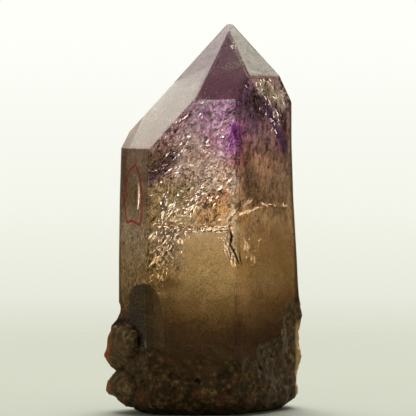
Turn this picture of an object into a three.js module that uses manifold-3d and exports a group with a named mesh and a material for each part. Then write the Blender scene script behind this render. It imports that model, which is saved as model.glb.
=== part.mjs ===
// Enhydro amethyst point: one quartz crystal with small side growths, standing on its broken root.
// Millimetres, +Z up along the crystal's long axis, -Y towards the viewer, origin on the resting face.

import * as THREE from "three";
import { ConvexGeometry } from "three/addons/geometries/ConvexGeometry.js";
import { ImprovedNoise } from "three/addons/math/ImprovedNoise.js";
import { mergeVertices } from "three/addons/utils/BufferGeometryUtils.js";
import Module from "manifold-3d";

const wasm = await Module();
wasm.setup();

// Quartz geometry: six prism faces in a ring, seen from above anticlockwise from the left front.
const FACES = ["left", "front", "right", "back_right", "back", "back_left"];
const FACE_STEP = 60; // degrees between neighbouring prism faces
const TURN = -2; // degrees that the front prism face is turned from the viewer
const RHOMB_TILT = 51.79; // degrees from level of every termination face, the same on all quartz

// Height at which the termination face above each prism face begins.
const SHOULDER = { left: 74.8, front: 89.4, right: 95.3, back_right: 88, back: 84.3, back_left: 79.4 };

const TIP_WEAR = { x: 6.5, z: 109.9, lean: 4 }; // the blunted tip: a point of it, and degrees it leans

// Distance of each prism face from the axis, level by level: the body widens a little to its root.
const GIRTH = [
  { z: 0, left: 24.5, front: 21.2, right: 19.9, back_right: 26.2, back: 23.2, back_left: 18.9 },
  { z: 18, left: 24.6, front: 21.1, right: 19.6, back_right: 26.2, back: 23.0, back_left: 18.9 },
  { z: 31, left: 24.6, front: 21.0, right: 18.7, back_right: 26.1, back: 22.8, back_left: 18.9 },
  { z: 43, left: 24.6, front: 20.8, right: 18.5, back_right: 25.3, back: 22.3, back_left: 18.9 },
  { z: 60, left: 24.3, front: 20.6, right: 18.4, back_right: 23.7, back: 21.7, back_left: 18.8 },
  { z: 76, left: 23.8, front: 20.6, right: 18.4, back_right: 22.8, back: 21.4, back_left: 18.5 },
  { z: 118, left: 23.8, front: 20.6, right: 18.4, back_right: 22.6, back: 21.4, back_left: 18.5 },
];

// The crusted root
const CRUST_HEIGHT = { left: 22, front: 19, right: 28, back_right: 38, back: 31, back_left: 27 };
const CRUST_LEVELS = [
  0, 0.9, 1.9, 3.1, 4.4, 5.8, 7.3, 8.9, 10.6, 12.4, 14.2, 16, 18, 20, 22, 24.2, 26.5, 29, 31.8, 35, 38.5,
];
const CRUST_FADE = 0.8; // share of the crust's height over which its roughness comes in
const SIDE_STEPS = 14; // stretches of each prism face in a crusted ring
const COARSE = { width: 4.4, swell: 0.88, seed: 3 }; // large waves of the crust
const FINE = { width: 2, swell: 0.48, seed: 7 }; // small waves of the crust
const CRUST_SKIN = 0.08; // thickness of the crust without its waves
const EDGE_WEAR = 1.3; // how far the prism edges are worn back at the very root
const EDGE_WEAR_WIDTH = 4.5; // how far along a face that wear reaches
const UNDERCUT = 3.8; // height over which the broken root rounds in to the resting face
const UNDERCUT_IN = 0.2; // share of the girth that it rounds in by
const UNDERCUT_WAVES = { width: 8.8, swell: 0.8, seed: 11 }; // unevenness of that rounding

// Ribbed side growths at the lower left, where small crystals grew side by side: the outline of the rib
// that reaches furthest, seen from the front, and each rib's place in depth and size beside that one.
const UPPER_GROWTH = {
  anchor: [-20, 20.5],
  outline: [
    [-18.5, 30], [-24.4, 29], [-25.3, 27.4], [-26, 25.9], [-27.5, 24.2], [-28.4, 20.7], [-29, 18],
    [-29.6, 15.5], [-29, 14.3], [-27.5, 12.4], [-26, 11.1], [-18.5, 11],
  ],
  ribs: [
    [-15.4, 0.36], [-13.7, 0.52], [-12, 0.6], [-10.4, 0.7], [-8.6, 0.76], [-6.9, 0.87],
    [-4.8, 0.93], [-2.4, 1], [0.4, 0.93], [3, 0.78], [5.6, 0.56],
  ],
};
const LOWER_GROWTH = {
  anchor: [-20.5, 7.5],
  outline: [
    [-18.5, 12.8], [-25.2, 12.2], [-26.6, 11], [-27.6, 9.9], [-28.9, 7.4], [-29.2, 6.1], [-28.2, 5],
    [-26.9, 4.6], [-25.3, 3.1], [-23.4, 1.4], [-18.5, 1.1],
  ],
  ribs: [[-15.2, 0.45], [-12.6, 0.66], [-9.8, 0.85], [-6.4, 1], [-3.2, 0.92], [0.4, 0.74], [3.4, 0.5]],
};
const RIB_NOTCH = 0.09; // how far the groove between two ribs steps back, as a share of the outline
const RIB_WAVES = { width: 2.2, swell: 0.5, seed: 17 }; // how a rib's outline wanders
const GROWTH_ROOT = 0.1; // size of both ends of a growth, buried in the crystal
const GROWTH_END = 1.5; // distance from the last ribs to those ends

// A later layer of growth round the lower left front edge, with an arched top, seen from the front, and
// how far it stands proud of the faces from the crust upwards.
const LAYER_OUTLINE = [
  [-22.4, 8], [-22.2, 33.5], [-20.6, 36.2], [-18, 37.2], [-16.2, 36.8], [-14.6, 35.2],
  [-13.2, 32], [-12.5, 28], [-12.1, 22], [-11.7, 15], [-11.4, 8],
];
const LAYER_PROUD = [
  { z: 8, proud: -2.4 },
  { z: 15, proud: -0.5 },
  { z: 21, proud: 0.4 },
  { z: 31, proud: 0.55 },
  { z: 43, proud: 0.55 },
];
const LAYER_DEPTH = [-26, -9]; // nearest and furthest reach of the layer

// The pale knob behind the right edge
const REAR_KNOB = { centre: [23.7, 6.5, 15], radii: [3.3, 4.2, 5.2] };
const KNOB_WAVES = { width: 0.8, swell: 0.3, seed: 31 }; // unevenness of its skin, as shares of its size

// Lumps of crust on the root: how far along its face from the middle each one is, and how high, how far
// it swells, and how wide it is.
const LUMPS = [
  { face: "left", along: 4, z: 6, swell: 1.2, width: 3.2 },
  { face: "front", along: -9.4, z: 8.4, swell: 1.1, width: 3 },
  { face: "front", along: -1.6, z: 5.6, swell: 1.3, width: 3.4 },
  { face: "front", along: 6.4, z: 8.2, swell: 1.2, width: 2.8 },
  { face: "right", along: -5.8, z: 11.2, swell: 1.3, width: 2.6 },
  { face: "right", along: 1.6, z: 6.6, swell: 1.1, width: 3.4 },
  { face: "right", along: 6.6, z: 20, swell: 0.9, width: 3 },
  { face: "back_right", along: -7.4, z: 27, swell: 1, width: 3.4 },
  { face: "back_right", along: 1, z: 9, swell: 1.6, width: 4.4 },
  { face: "back_right", along: 5.5, z: 19, swell: 1.2, width: 4 },
  { face: "back", along: -7.5, z: 10, swell: 1.5, width: 4.4 },
  { face: "back", along: 2.6, z: 18, swell: 1.3, width: 5 },
  { face: "back", along: 7.6, z: 6.6, swell: 1.3, width: 3.6 },
  { face: "back_left", along: -3, z: 13, swell: 1.5, width: 4.6 },
  { face: "back_left", along: 5.2, z: 5.2, swell: 1.2, width: 3.4 },
];

// Pits in the crust and in the lower faces: how far along its face from the middle, and how high.
const PITS = [
  { face: "left", along: 7.4, z: 22.7, radius: 0.7 },
  { face: "left", along: 6.9, z: 9.3, radius: 0.9 },
  { face: "left", along: 9.4, z: 6.4, radius: 1.1 },
  { face: "front", along: -9.2, z: 11.6, radius: 1 },
  { face: "front", along: -2.2, z: 9.9, radius: 1.2 },
  { face: "front", along: 4.6, z: 11.3, radius: 0.9 },
  { face: "right", along: -4.4, z: 13.2, radius: 1 },
  { face: "right", along: 2.6, z: 16.1, radius: 1.1 },
  { face: "right", along: -2.1, z: 31.8, radius: 0.7 },
  { face: "right", along: 6.2, z: 30.2, radius: 0.8 },
];
const CHIP = { centre: [-25.9, -3.9, 29.2], radius: 2.2 }; // out of the left edge, above the growths
const PIT_REACH = 2.4; // how far a pit's cutter stands out, past any crust, as a multiple of its radius
const PIT_DEPTH = 0.9; // how deep a pit goes, as a multiple of its radius

// The crack in the front face beside its right edge, seen from the front
const CRACK = [
  [10.1, 60.3], [8.9, 58.4], [7.9, 56.9], [6.1, 55], [5.9, 52.6],
  [6.6, 50.2], [6.2, 48.1], [7.6, 45.3], [8.7, 42.6],
];
const CRACK_WIDTH = 0.45;
const CRACK_DEPTH = 1.3;
const CRACK_ENDS = 0.25; // width of its two ends, as a share of its middle

const noise = new ImprovedNoise();

// Waves through space, from -1 to 1 times their swell.
const wave = (point, { width, swell, seed }) =>
  swell * noise.noise(point.x / width + seed, point.y / width - seed, point.z / width + 2 * seed);

const azimuth = (index) => THREE.MathUtils.degToRad(TURN + FACE_STEP * (index - 1));

// Outward level direction of a prism face.
const outward = (index) => new THREE.Vector3(Math.sin(azimuth(index)), -Math.cos(azimuth(index)), 0);

// The geometry inside a set of planes, whose corners are where three of the planes meet.
function crystalOf(planes) {
  const slack = 1e-6;
  const corners = [];
  const matrix = new THREE.Matrix3();
  for (let i = 0; i < planes.length; i++)
    for (let j = i + 1; j < planes.length; j++)
      for (let k = j + 1; k < planes.length; k++) {
        const [a, b, c] = [planes[i], planes[j], planes[k]];
        matrix.set(...a.normal, ...b.normal, ...c.normal);
        if (Math.abs(matrix.determinant()) < slack) continue;
        const corner = new THREE.Vector3(-a.constant, -b.constant, -c.constant);
        corner.applyMatrix3(matrix.invert());
        const inside = planes.every((plane) => plane.distanceToPoint(corner) < slack);
        if (inside && !corners.some((seen) => seen.distanceTo(corner) < slack)) corners.push(corner);
      }
  return new ConvexGeometry(corners);
}

// A closed geometry as a solid that can be joined and cut.
function solidOf(geometry) {
  const bare = geometry.clone();
  for (const name of Object.keys(bare.attributes)) if (name !== "position") bare.deleteAttribute(name);
  const merged = mergeVertices(bare, 1e-4);
  return new wasm.Manifold(
    new wasm.Mesh({
      numProp: 3,
      vertProperties: new Float32Array(merged.attributes.position.array),
      triVerts: new Uint32Array(merged.index.array),
    }),
  );
}

function geometryOf(solid) {
  const mesh = solid.getMesh();
  const geometry = new THREE.BufferGeometry();
  geometry.setAttribute("position", new THREE.BufferAttribute(mesh.vertProperties, 3));
  geometry.setIndex(new THREE.BufferAttribute(mesh.triVerts, 1));
  return geometry;
}

// How far every prism face is from the axis at a height.
function girthAt(z) {
  const above = GIRTH.findIndex((level) => level.z >= z && level.z > 0);
  const [low, high] = [GIRTH[above - 1], GIRTH[above]];
  const share = (z - low.z) / (high.z - low.z);
  return FACES.map((face) => THREE.MathUtils.lerp(low[face], high[face], share));
}

// The prism edge between a face and the next one round.
function edgeAfter(index, girth) {
  const next = (index + 1) % FACES.length;
  const [a, b] = [outward(index), outward(next)];
  const cross = a.x * b.y - a.y * b.x;
  return new THREE.Vector2(
    (girth[index] * b.y - girth[next] * a.y) / cross,
    (girth[next] * a.x - girth[index] * b.x) / cross,
  );
}

// The six prism edges at a height.
function edgesAt(z, proud = 0) {
  const girth = girthAt(z).map((distance) => distance + proud);
  return FACES.map((_, side) => edgeAfter((side + FACES.length - 1) % FACES.length, girth));
}

// The point on a prism face at a distance along it from its middle, and at a height.
function onFace({ face, along, z }) {
  const index = FACES.indexOf(face);
  const out = outward(index);
  const tangent = new THREE.Vector3(-out.y, out.x, 0);
  return out.multiplyScalar(girthAt(z)[index]).addScaledVector(tangent, along).setZ(z);
}

// How far the crust's lumps swell a point on the root.
function lumpsAt(point) {
  return LUMPS.reduce((sum, lump) => {
    const distance = point.distanceTo(onFace(lump)) / lump.width;
    return sum + lump.swell * Math.exp(-(distance ** 2));
  }, 0);
}

const crustHeightOf = (side) => CRUST_HEIGHT[FACES[side % FACES.length]];

// One ring of points round the root at a height: lumpy, its edges worn, and rounded in underneath.
function rootRing(z) {
  const edges = edgesAt(z);
  const rounding = UNDERCUT_IN * Math.max(0, 1 - z / UNDERCUT) ** 1.5;
  return edges.flatMap((from, side) => {
    const to = edges[(side + 1) % FACES.length];
    const [here, next, last] = [0, 1, FACES.length - 1].map((i) => crustHeightOf(side + i));
    return Array.from({ length: SIDE_STEPS }, (_, step) => {
      const share = step / SIDE_STEPS;
      const toNext = Math.max(0, share - 0.5);
      const toLast = Math.max(0, 0.5 - share);
      const crustTop = here + toNext * (next - here) + toLast * (last - here);
      const crust = THREE.MathUtils.smoothstep(crustTop - z, 0, CRUST_FADE * crustTop);
      const flat = from.clone().lerp(to, share);
      const point = new THREE.Vector3(flat.x, flat.y, z);
      const rough = CRUST_SKIN + wave(point, COARSE) + wave(point, FINE);
      const edgeDistance = Math.min(flat.distanceTo(from), flat.distanceTo(to));
      const wear = EDGE_WEAR * Math.max(0, 1 - edgeDistance / EDGE_WEAR_WIDTH) ** 2;
      const inwards = rounding * (1 + wave(point, UNDERCUT_WAVES));
      const radius = flat.length();
      const swollen = radius * (1 - inwards) + crust * (rough - wear) + lumpsAt(point);
      flat.multiplyScalar(swollen / radius);
      return new THREE.Vector3(flat.x, flat.y, z);
    });
  });
}

// The flat quad or strip of a prism face between a low and a high row of points along it.
function joinRows(low, high) {
  const triangles = [];
  for (let i = 0; i + 1 < low.length; i++) {
    const apex = high.length === low.length ? high[i] : high[i < low.length / 2 ? 0 : 1];
    triangles.push(low[i], low[i + 1], apex);
  }
  if (high.length === low.length)
    for (let i = 0; i + 1 < high.length; i++) triangles.push(low[i + 1], high[i + 1], high[i]);
  else triangles.push(low[Math.ceil(low.length / 2)], high[1], high[0]);
  return triangles;
}

// The part of a ring that runs along one side, from its prism edge to the next.
function sideOf(ring, side) {
  const steps = ring.length / FACES.length;
  return Array.from({ length: steps + 1 }, (_, i) => ring[(side * steps + i) % ring.length]);
}

// A fan that closes a ring, facing up or down.
function lidOf(ring, facingUp) {
  const centre = new THREE.Vector3(0, 0, ring[0].z);
  return ring.flatMap((point, i) => {
    const next = ring[(i + 1) % ring.length];
    return facingUp ? [centre, point, next] : [centre, next, point];
  });
}

// A closed form through rings of six sides, each at its own height.
function loftOf(rings) {
  const triangles = [...lidOf(rings[0], false), ...lidOf(rings.at(-1), true)];
  for (let level = 0; level + 1 < rings.length; level++)
    for (let side = 0; side < FACES.length; side++)
      triangles.push(...joinRows(sideOf(rings[level], side), sideOf(rings[level + 1], side)));
  return new THREE.BufferGeometry().setFromPoints(triangles);
}

// The body below the termination, a crusted root under plain prism faces.
function bodyGeometry() {
  const rings = CRUST_LEVELS.map(rootRing);
  for (const { z } of GIRTH)
    if (z > CRUST_LEVELS.at(-1)) rings.push(edgesAt(z).map((edge) => new THREE.Vector3(edge.x, edge.y, z)));
  return loftOf(rings);
}

// The six termination faces, each at the quartz angle above its own prism face.
function terminationGeometry() {
  const tilt = THREE.MathUtils.degToRad(RHOMB_TILT);
  const girth = girthAt(GIRTH.at(-1).z);
  const planes = FACES.map((face, i) => {
    const normal = outward(i).multiplyScalar(Math.sin(tilt)).setZ(Math.cos(tilt));
    return new THREE.Plane(normal, -(Math.sin(tilt) * girth[i] + Math.cos(tilt) * SHOULDER[face]));
  });
  const lean = THREE.MathUtils.degToRad(TIP_WEAR.lean);
  const wornNormal = new THREE.Vector3(Math.sin(lean), 0, Math.cos(lean));
  const wornPoint = new THREE.Vector3(TIP_WEAR.x, 0, TIP_WEAR.z);
  planes.push(new THREE.Plane().setFromNormalAndCoplanarPoint(wornNormal, wornPoint));
  planes.push(new THREE.Plane(new THREE.Vector3(0, 0, -1), 0));
  return crystalOf(planes);
}

// An outline in the front view, given thickness from y to y + depth.
function plateGeometry(outline, y, depth) {
  const shape = new THREE.Shape(outline.map(([x, z]) => new THREE.Vector2(x, z)));
  const plate = new THREE.ExtrudeGeometry(shape, { depth, bevelEnabled: false });
  return plate.rotateX(Math.PI / 2).translate(0, y + depth, 0);
}

// One side growth: a row of ragged ribs with grooves between them, closed inside the crystal.
function growthSolid({ anchor, outline, ribs }) {
  const stations = [[ribs[0][0] - GROWTH_END, GROWTH_ROOT]];
  ribs.forEach(([y, size], i) => {
    stations.push([y, size]);
    const next = ribs[i + 1];
    if (next) stations.push([(y + next[0]) / 2, Math.min(size, next[1]) - RIB_NOTCH]);
  });
  stations.push([ribs.at(-1)[0] + GROWTH_END, GROWTH_ROOT]);
  const [anchorX, anchorZ] = anchor;
  const rows = stations.map(([y, size]) =>
    outline.map(([x, z]) => {
      const point = new THREE.Vector3(anchorX + size * (x - anchorX), y, anchorZ + size * (z - anchorZ));
      const ragged = 1.3 - size; // the rib that reaches furthest keeps its outline best
      point.x += ragged * wave(point, RIB_WAVES);
      point.z += ragged * wave(point, RIB_WAVES);
      return point;
    }),
  );
  const triangles = [];
  const middleOf = (row) => new THREE.Vector3(anchorX, row[0].y, anchorZ);
  const [nearest, furthest] = [rows[0], rows.at(-1)];
  for (let i = 0; i < outline.length; i++) {
    const next = (i + 1) % outline.length;
    triangles.push(middleOf(nearest), nearest[i], nearest[next]);
    triangles.push(middleOf(furthest), furthest[next], furthest[i]);
    for (let row = 0; row + 1 < rows.length; row++) {
      const [near, far] = [rows[row], rows[row + 1]];
      triangles.push(near[i], far[i], far[next], near[i], far[next], near[next]);
    }
  }
  return solidOf(new THREE.BufferGeometry().setFromPoints(triangles));
}

// The later layer: a slightly larger hexagonal sleeve, kept only inside its outline.
function layerSolid() {
  const rings = LAYER_PROUD.map(({ z, proud }) =>
    edgesAt(z, proud).map((edge) => new THREE.Vector3(edge.x, edge.y, z)),
  );
  const [nearest, furthest] = LAYER_DEPTH;
  const window = plateGeometry(LAYER_OUTLINE, nearest, furthest - nearest);
  return solidOf(loftOf(rings)).intersect(solidOf(window));
}

// A knob of rock with an uneven skin.
function knobSolid({ centre, radii }) {
  const knob = new THREE.IcosahedronGeometry(1, 2);
  const positions = knob.attributes.position;
  const point = new THREE.Vector3();
  for (let i = 0; i < positions.count; i++) {
    point.fromBufferAttribute(positions, i);
    point.multiplyScalar(1 + wave(point, KNOB_WAVES)).multiply(new THREE.Vector3(...radii));
    positions.setXYZ(i, point.x, point.y, point.z);
  }
  return solidOf(knob.translate(...centre));
}

// The crack: a crooked slot that is widest in its middle and closes at both ends.
function crackGeometry() {
  const side = (direction) =>
    CRACK.map(([x, z], i) => {
      const open = Math.sin((Math.PI * i) / (CRACK.length - 1));
      const half = (CRACK_WIDTH / 2) * THREE.MathUtils.lerp(CRACK_ENDS, 1, open);
      return [x + direction * half, z + direction * 0.4 * half];
    });
  const outline = [...side(-1), ...side(1).reverse()];
  const frontFace = onFace({ face: "front", along: 0, z: CRACK[0][1] }).y;
  return plateGeometry(outline, frontFace - CRACK_DEPTH, 2 * CRACK_DEPTH);
}

// A small round hole sunk into a prism face, cut by an egg whose narrow way is along the face.
function pitSolid(pit) {
  const index = FACES.indexOf(pit.face);
  const middle = onFace(pit).addScaledVector(outward(index), (PIT_REACH - PIT_DEPTH) * pit.radius);
  const egg = new THREE.IcosahedronGeometry(pit.radius, 1).scale(1, PIT_REACH, 1);
  return solidOf(egg.rotateZ(azimuth(index)).translate(...middle));
}

let crystal = solidOf(bodyGeometry()).intersect(solidOf(terminationGeometry()));
for (const addition of [
  growthSolid(UPPER_GROWTH),
  growthSolid(LOWER_GROWTH),
  layerSolid(),
  knobSolid(REAR_KNOB),
])
  crystal = crystal.add(addition);
for (const pit of PITS) crystal = crystal.subtract(pitSolid(pit));
const chip = new THREE.IcosahedronGeometry(CHIP.radius, 1).translate(...CHIP.centre);
crystal = crystal.subtract(solidOf(chip)).subtract(solidOf(crackGeometry()));

const amethyst = new THREE.MeshStandardMaterial({
  color: 0x8a6f5e,
  roughness: 0.12,
  metalness: 0,
});
const point = new THREE.Mesh(geometryOf(crystal), amethyst);
point.name = "amethyst_point";

const specimen = new THREE.Group();
specimen.add(point);

export default specimen;
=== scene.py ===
"""Looks of the enhydro amethyst point: a clear quartz crystal, purple at the tip, smoky gold in the middle
and crusted brown at the root, with veils, healed cracks, glitter and a small fluid pocket inside."""

import math
import random

import bmesh
import bpy
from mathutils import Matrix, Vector, noise
from mathutils.bvhtree import BVHTree


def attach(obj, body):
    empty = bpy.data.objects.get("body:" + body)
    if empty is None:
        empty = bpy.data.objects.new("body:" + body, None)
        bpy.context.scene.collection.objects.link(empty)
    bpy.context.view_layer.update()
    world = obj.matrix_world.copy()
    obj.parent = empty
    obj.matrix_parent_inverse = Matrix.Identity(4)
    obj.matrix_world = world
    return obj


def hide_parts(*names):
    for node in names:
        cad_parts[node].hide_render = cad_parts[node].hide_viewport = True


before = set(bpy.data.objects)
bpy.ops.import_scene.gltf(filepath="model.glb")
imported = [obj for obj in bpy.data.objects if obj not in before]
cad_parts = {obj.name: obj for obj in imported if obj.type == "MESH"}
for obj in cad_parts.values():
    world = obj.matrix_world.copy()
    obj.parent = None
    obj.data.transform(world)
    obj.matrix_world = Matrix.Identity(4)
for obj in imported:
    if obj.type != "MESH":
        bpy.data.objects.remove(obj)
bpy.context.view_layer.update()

MM = 0.001
SEED = 7

# How far the front face is turned, in degrees, and how steep the facets of the tip are
TURN = -2
RHOMB_TILT = math.radians(51.79)

# Prism faces, anticlockwise from above, with their distance from the axis in mm, and the reach and level at
# which the facets above three of them start
SIDES = {"left": 24.3, "front": 20.6, "right": 18.4, "back_right": 23.7, "back": 21.7, "back_left": 18.8}
SHOULDER = {"left": (23.8, 74.8), "front": (20.6, 89.4), "right": (18.4, 95.3)}

# Crust on the root, in mm: how high it reaches, side by side, over what height it fades, how far its edge
# wanders, its longest mesh edge, and the shares of crust between which its relief comes in
CRUST_HEIGHT = {"left": 26, "front": 15, "right": 22, "back_right": 37, "back": 27, "back_left": 24}
CRUST_FADE = 7
CRUST_WANDER = 5
CRUST_MESH = 0.75
RELIEF_SHARES = (0.45, 0.8)

# Worn edges: their width, and the angle, level and length from which an edge is worn
EDGE_BEVEL = 0.16
SHARP_ANGLE = math.radians(12)
WORN_ABOVE = 38
SHORTEST_EDGE = 2.5

# Later layer of growth round the lower left front edge: from what reach of each face it counts, between
# what levels and up to what side, over what levels its crust ends, and how dull it is above
LATER_REACH = {"left": 24.72, "front": 21.25}
LATER_LEVELS = (14, 38)
LATER_SIDE = -11
LATER_FADE = (16, 22)
LATER_CRUST = 0.42

# Crust on the growths of the left face and on the knob behind the right edge: reach and levels
GROWTH_REACH = (25.3, 25.6)
GROWTH_FADE = (30, 32)
KNOB_REACH = (24.9, 25.6)
KNOB_FADE = (22, 24)

# Crust colours: a speckle from near-black pits to pale lumps, partly the crust's own brown and partly
# painted shade in pits and painted light on lumps, its rusty stains, the growths of the left face, paler
# partly as painted light, with their brown rim, and the knob, with the sides and levels in mm over which
# these come in
CRUST_TONES_AND_SHADING = [
    (0.34, (0.002, 0.0015, 0.001)),
    (0.44, (0.019, 0.011, 0.0035)),
    (0.55, (0.068, 0.041, 0.0145)),
    (0.67, (0.22, 0.15, 0.058)),
]
RUST_TONE = (0.11, 0.034, 0.013)
GROWTH_SIDE = (-20.5, -23.5)
GROWTH_PALENESS_AND_LIGHT = (1.9, 1.8, 1.7)
GROWTH_TONE = (0.11, 0.078, 0.04)
RIM_SIDE = (-25.6, -27.4)
RIM_TONE = (0.3, 0.085, 0.022)
KNOB_SIDE = (24.8, 25.6)
KNOB_LEVELS = (26, 23)
KNOB_TONE = (0.42, 0.27, 0.12)

# Tint that light takes on through the skin, level by level in mm
ZONES = [
    (15, (0.026, 0.011, 0.0035)),
    (24, (0.036, 0.015, 0.0046)),
    (31.4, (0.155, 0.079, 0.027)),
    (41, (0.48, 0.3, 0.125)),
    (48, (0.66, 0.45, 0.268)),
    (56, (0.83, 0.65, 0.46)),
    (66, (0.9, 0.8, 0.72)),
    (80, (0.9, 0.81, 0.8)),
    (92, (0.92, 0.87, 0.86)),
    (106, (0.96, 0.94, 0.91)),
]
ZONE_TOP = 112

# How two faces change that tint by which way they look: painted shade above the golden zone, painted light
# on the left and painted shade on the right in it, and painted light at its foot; over what levels, how
# squarely the skin looks that way, and the tints of the later layer in front and on the left, where it is
# darker as painted shade
PAINTED_SIDE_SHADING = {
    "left": ((0.36, 0.29, 0.23), (1.6, 1.8, 1.9), (2.6, 3.1, 3.6)),
    "right": ((0.46, 0.36, 0.27), (0.93, 0.78, 0.56), (1.5, 1.4, 1.15)),
}
GOLDEN_TOP = (62, 48)
GOLDEN_FOOT = (44, 30)
TURNED = (0.9, 0.98)
LATER_TINT_AND_SHADE = ((0.05, 0.03, 0.014), (0.016, 0.009, 0.003))

# Levels in mm below which brown stain makes the quartz less clear
STAIN_LEVELS = (36, 20)

# Veils: tone of the cloudy quartz, level by level, and patches of other tones in front of a certain y, each
# a band from one point to another (x and z in mm) with its half width, colour and strength
VEIL_TONES = [
    (24, (0.2, 0.1, 0.035)),
    (33, (0.55, 0.35, 0.13)),
    (44, (1, 0.88, 0.55)),
    (56, (0.92, 0.7, 0.44)),
    (66, (0.84, 0.55, 0.42)),
    (76, (0.78, 0.5, 0.46)),
    (86, (0.66, 0.42, 0.62)),
    (100, (0.66, 0.46, 0.5)),
]
PATCHES_END = 3
PATCHES = [
    ((2, 84), (6, 78), 10, (0.64, 0.27, 0.6), 0.75),
    ((7.4, 80), (7.4, 72), 2.8, (0.42, 0.1, 0.48), 0.92),
    ((4.8, 88.4), (8.6, 88.2), 2.4, (0.6, 0.1, 0.6), 0.9),
    ((-5, 70), (3, 64), 6, (0.95, 0.64, 0.5), 0.6),
    ((-16.5, 66), (-9.4, 72.8), 3.4, (0.11, 0.045, 0.12), 0.96),
    ((-15.4, 71), (-12, 74), 3.6, (0.14, 0.06, 0.025), 0.96),
    ((-12.5, 75.4), (-6, 84), 2.2, (0.4, 0.22, 0.22), 0.7),
    ((-13, 61), (-6, 62), 6, (0.5, 0.42, 0.2), 0.75),
    ((0, 59.5), (5, 62), 4.2, (0.4, 0.17, 0.08), 0.75),
    ((6, 67), (7.5, 72), 3, (0.5, 0.26, 0.16), 0.6),
    ((11, 86), (17, 74), 5, (0.42, 0.28, 0.32), 0.9),
    ((9.5, 91), (12, 81), 3.4, (0.3, 0.18, 0.36), 0.95),
    ((21, 84), (22.5, 74), 3, (0.2, 0.12, 0.15), 0.9),
    ((-14, 51), (-9, 42), 4, (1, 0.97, 0.8), 0.85),
    ((13, 62), (22, 60), 6, (0.28, 0.18, 0.09), 0.85),
    ((-22, 62), (-20, 52), 7, (0.3, 0.22, 0.14), 0.7),
    ((-24, 75), (-24, 67), 2.6, (0.08, 0.05, 0.04), 0.9),
    ((-22, 54), (-21, 33), 6, (1, 0.98, 0.9), 0.95),
    ((-21, 25), (-21, 14), 4, (0.1, 0.05, 0.02), 0.9),
    ((3, 58), (9, 54), 3.5, (0.95, 0.5, 0.2), 0.75),
    ((-2, 55), (6, 55), 4, (0.74, 0.4, 0.18), 0.85),
    ((14.5, 89), (22, 73.5), 1.7, (0.16, 0.06, 0.28), 0.97),
    ((13, 86), (20, 72), 0.8, (0.6, 0.34, 0.5), 0.9),
    ((15.5, 92), (23, 79), 1.1, (0.12, 0.06, 0.14), 0.9),
    ((10, 76), (12, 66), 2, (0.3, 0.17, 0.12), 0.8),
    ((-17.5, 64), (-18.5, 56), 1, (0.95, 0.72, 0.6), 0.9),
    ((10.5, 72), (11, 61), 2.4, (0.2, 0.11, 0.07), 0.8),
    ((15, 92), (22, 87), 3.2, (1, 0.9, 0.75), 0.85),
    ((12, 90), (14, 84), 1.8, (0.12, 0.05, 0.12), 0.8),
    ((14, 52), (20, 47), 3, (0.5, 0.33, 0.16), 0.7),
    ((16, 71), (18, 64), 6, (0.6, 0.4, 0.27), 0.7),
]

# Kinds of cloudy quartz: how bright their fibres get, how uneven, which also sets how strong their painted
# highlights are, how deep, how big in mm, and their shape
VEIL_KINDS = {
    "cloudy_quartz": (2.8, 1.8, 0.3, 0.7, (1, 1, 2)),
    "soft_quartz": (1.7, 0.85, 0.1, 1.6, (1, 1, 2)),
    "hazy_quartz": (1.22, 0.4, 0.05, 0.36, (1.5, 1.5, 1)),
}
FIBRE_LEAN = 34

# Sheets that hold the veils, in mm: width and height, level of the middle, width of the waves, and depth
VEIL_SHEET = (36, 92)
VEIL_MIDDLE = 52
VEIL_WAVES = 7
HAZE_SHEET = (36, 50)
HAZE_MIDDLE = 35
HAZE_WAVES = 6
HAZE_DEPTH = 0.9
FACET_SHEET = (50, 62)
FACET_RISE = 16
FACET_DEPTH = 0.8

# Veils under the back faces: depth, swell, density, and the levels over which they start and end
BACK_VEILS = {
    "back_right": (3.2, 1.8, 0.25, (50, 58), (78, 90)),
    "back": (3.4, 1.8, 0.2, (52, 62), (74, 86)),
    "back_left": (2.6, 1.4, 0.25, (36, 46), (72, 82)),
}

# Tones of the haze in the smoky zone, low, high and low on the right, and of the frost under the facets,
# whose darker purple low under the front facet is partly painted shade
HAZE_TONES = ((0.78, 0.74, 0.55), (0.68, 0.57, 0.36))
HAZE_PALE = (1, 0.97, 0.86)
FRONT_FACET_TONES = ((0.28, 0.12, 0.19), (0.42, 0.25, 0.33))
LEFT_FACET_TONES = ((0.85, 0.84, 0.66), (0.6, 0.4, 0.52))
RIGHT_FACET_TONE = (0.95, 1, 0.85)
RIGHT_FACET_DENSITY = 0.92

# The left facet's border with the front one: its ends (x and z in mm), and how far frost lies beside it
FACET_BORDER = ((-16.5, 74), (5.5, 106))
BORDER_REACH = (1, 9)

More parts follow.
